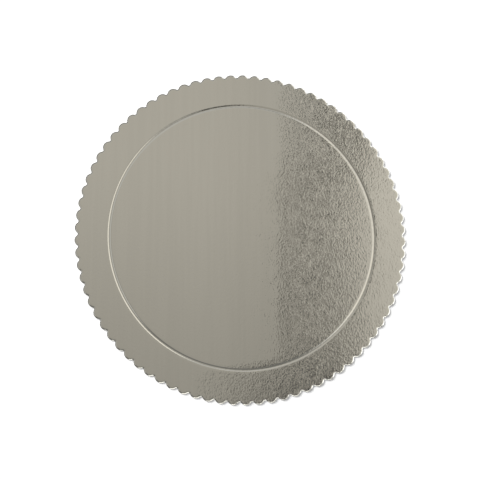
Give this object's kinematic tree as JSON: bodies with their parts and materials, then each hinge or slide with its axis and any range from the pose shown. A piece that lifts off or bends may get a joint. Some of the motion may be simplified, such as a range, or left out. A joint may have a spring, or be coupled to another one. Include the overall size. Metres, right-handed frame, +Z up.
{
  "type": "cake board",
  "caption": "Thin round laminated card cake board with a silver foil face, a scalloped die-cut edge, a pressed-over rim and a pressed ring line; lies flat to carry a cake.",
  "frame": {"origin": "centre of the underside, on the surface that the board lies on", "axes": "+Z up out of the foil face, through the middle of the board; +X through the bottom of a notch in the scalloped edge"},
  "size_m": [0.2998, 0.3, 0.002],
  "materials": {
    "foil_faced_card": "satin silver foil with a fine orange-peel crinkle over grey card; pale card on the cut edge and the underside"
  },
  "bodies": {
    "root": {"cake_board": "foil_faced_card"}
  },
  "joints": []
}
